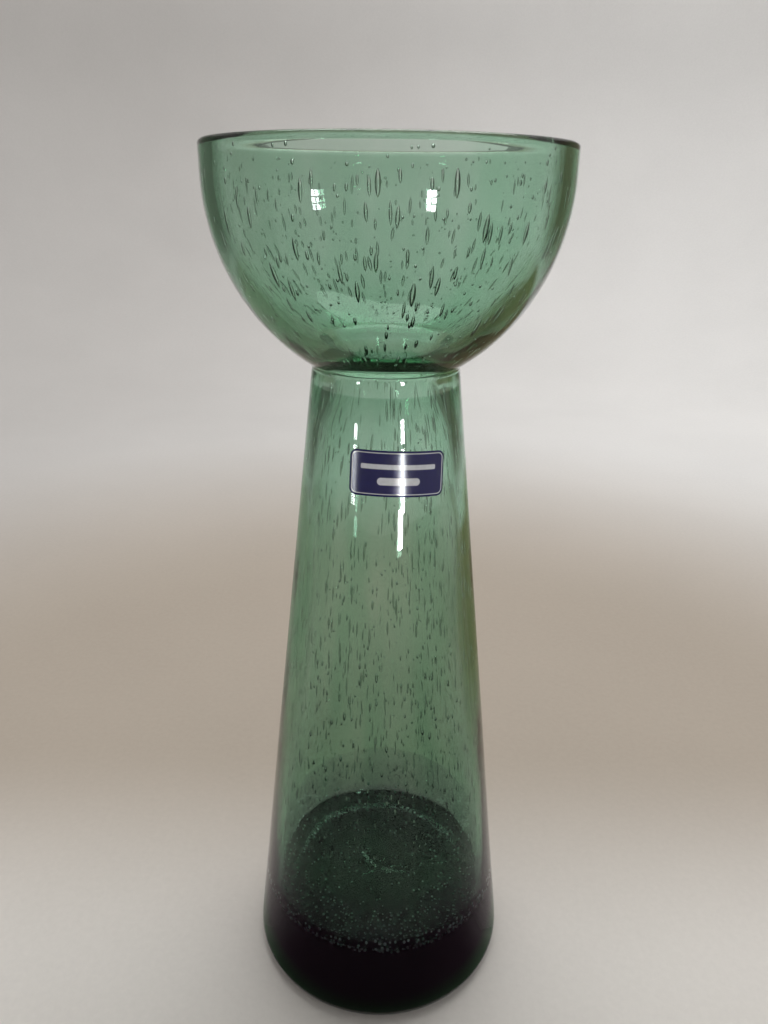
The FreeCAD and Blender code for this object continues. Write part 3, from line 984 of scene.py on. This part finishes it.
def upright(azimuth_from, azimuth_to, radius, height):
    a, b = math.radians(azimuth_from), math.radians(azimuth_to)
    left = (radius * math.sin(a), radius * math.cos(a))
    right = (radius * math.sin(b), radius * math.cos(b))
    return [(*left, 0.0), (*right, 0.0), (*right, height), (*left, height)]


# Painted shade in the glass: a dark purplish card round the front, seen only in reflections, darkens the base, and it
# is green next to the foot.
front_card = flat_card("front_card", -125, 125, 0.0402, 0.95, (0.115, 0.07, 0.10), (0.30, 0.002), (0.13, 0.24, 0.14))
front_card.visible_transmission = False
# Painted shade in the glass: dark cards behind and to the sides, seen only in and through it, darken the edges of the
# stem and bowl.
flat_card("back_card_right", 95, 168, 0.09, 0.66, (0.24, 0.215, 0.125), (0.3, 0.25))
flat_card("back_card_left", -168, -95, 0.09, 0.66, (0.34, 0.36, 0.29), (0.3, 0.25))
card("side_card_right", upright(24, 80, 0.55, 0.5), (0.34, 0.32, 0.23), (0.3, 0.3))
card("side_card_left", upright(-80, -26, 0.55, 0.5), (0.27, 0.29, 0.255), (0.3, 0.3))

# ------------------------------------------------------------------- lighting
world = bpy.data.worlds.new("soft_room")
scene.world = world
world.use_nodes = True
world.node_tree.nodes["Background"].inputs["Color"].default_value = (0.97, 0.98, 1.0, 1)
world.node_tree.nodes["Background"].inputs["Strength"].default_value = 0.30


def area(name, azimuth, elevation, distance, size, power, colour=(1, 1, 1), aim=(0, 0, 0.12)):
    """A soft box. Azimuth is degrees to the right of the front."""
    a, e = math.radians(azimuth), math.radians(elevation)
    aim = Vector(aim)
    way = Vector((math.sin(a) * math.cos(e), -math.cos(a) * math.cos(e), math.sin(e)))
    data = bpy.data.lights.new(name, "AREA")
    data.shape = "RECTANGLE"
    data.size, data.size_y = size
    data.energy = power
    data.color = colour
    ob = bpy.data.objects.new(name, data)
    ob.location = aim + way * distance
    ob.rotation_mode = "QUATERNION"
    ob.rotation_quaternion = way.to_track_quat("Z", "Y")
    ob.visible_camera = False
    scene.collection.objects.link(ob)
    return ob


overhead = area("overhead", 170, 68, 1.75, (1.9, 1.5), 22.7, (1.0, 0.99, 0.98), (0, 0.05, 0.0))
overhead.data.shape = "ELLIPSE"
def window(name, azimuth, elevation, distance, pane, columns, rows, gap, radiance, aim):
    """A far window of several panes, which the glass reflects."""
    a, e = math.radians(azimuth), math.radians(elevation)
    way = Vector((math.sin(a) * math.cos(e), -math.cos(a) * math.cos(e), math.sin(e)))
    side = Vector((math.cos(a), math.sin(a), 0))
    up = side.cross(way) * -1
    aim = Vector(aim)
    for i in range(columns):
        for k in range(rows):
            shift = side * ((i - (columns - 1) / 2) * (pane[0] + gap)) + up * ((k - (rows - 1) / 2) * (pane[1] + gap))
            power = radiance * pane[0] * pane[1] * (0.75 + 0.25 * ((i * 2 + k) % 3))
            light = area(f"{name}_{i}{k}", azimuth, elevation, distance, pane, power, (0.93, 0.98, 1.0), aim + shift)
            light.visible_diffuse = False


window("window_right", 24, -9, 0.70, (0.026, 0.034), 2, 3, 0.006, 210.0, (0, 0, 0.21))
window("window_left", -41, -9, 0.70, (0.022, 0.030), 2, 3, 0.007, 90.0, (0, 0, 0.21))
low_light = area("window_low", 21, -12, 0.45, (0.045, 0.031), 0.0019, (0.97, 0.99, 1.0), (0, 0, 0.169))
low_light.data.spread = math.radians(8)
low_light.visible_diffuse = False

# --------------------------------------------------------------------- camera
cam_data = bpy.data.cameras.new("camera")
cam_data.sensor_width = 36.0
cam_data.lens = 794.6 / 1024 * 36.0
cam_data.clip_start = 0.01
cam_data.clip_end = 20.0
camera = bpy.data.objects.new("camera", cam_data)
scene.collection.objects.link(camera)
camera.matrix_world = (
    Matrix.Translation((0.0, -0.20637, 0.23319))
    @ Matrix.Rotation(math.radians(90 - 21.762), 4, "X")
    @ Matrix.Rotation(math.radians(0.768), 4, "Z")
)
scene.camera = camera

scene.view_settings.view_transform = "Standard"
scene.cycles.max_bounces = 40
scene.cycles.transmission_bounces = 40
scene.cycles.glossy_bounces = 12
scene.cycles.diffuse_bounces = 4
scene.cycles.volume_bounces = 0
scene.cycles.transparent_max_bounces = 96

bpy.context.view_layer.update()
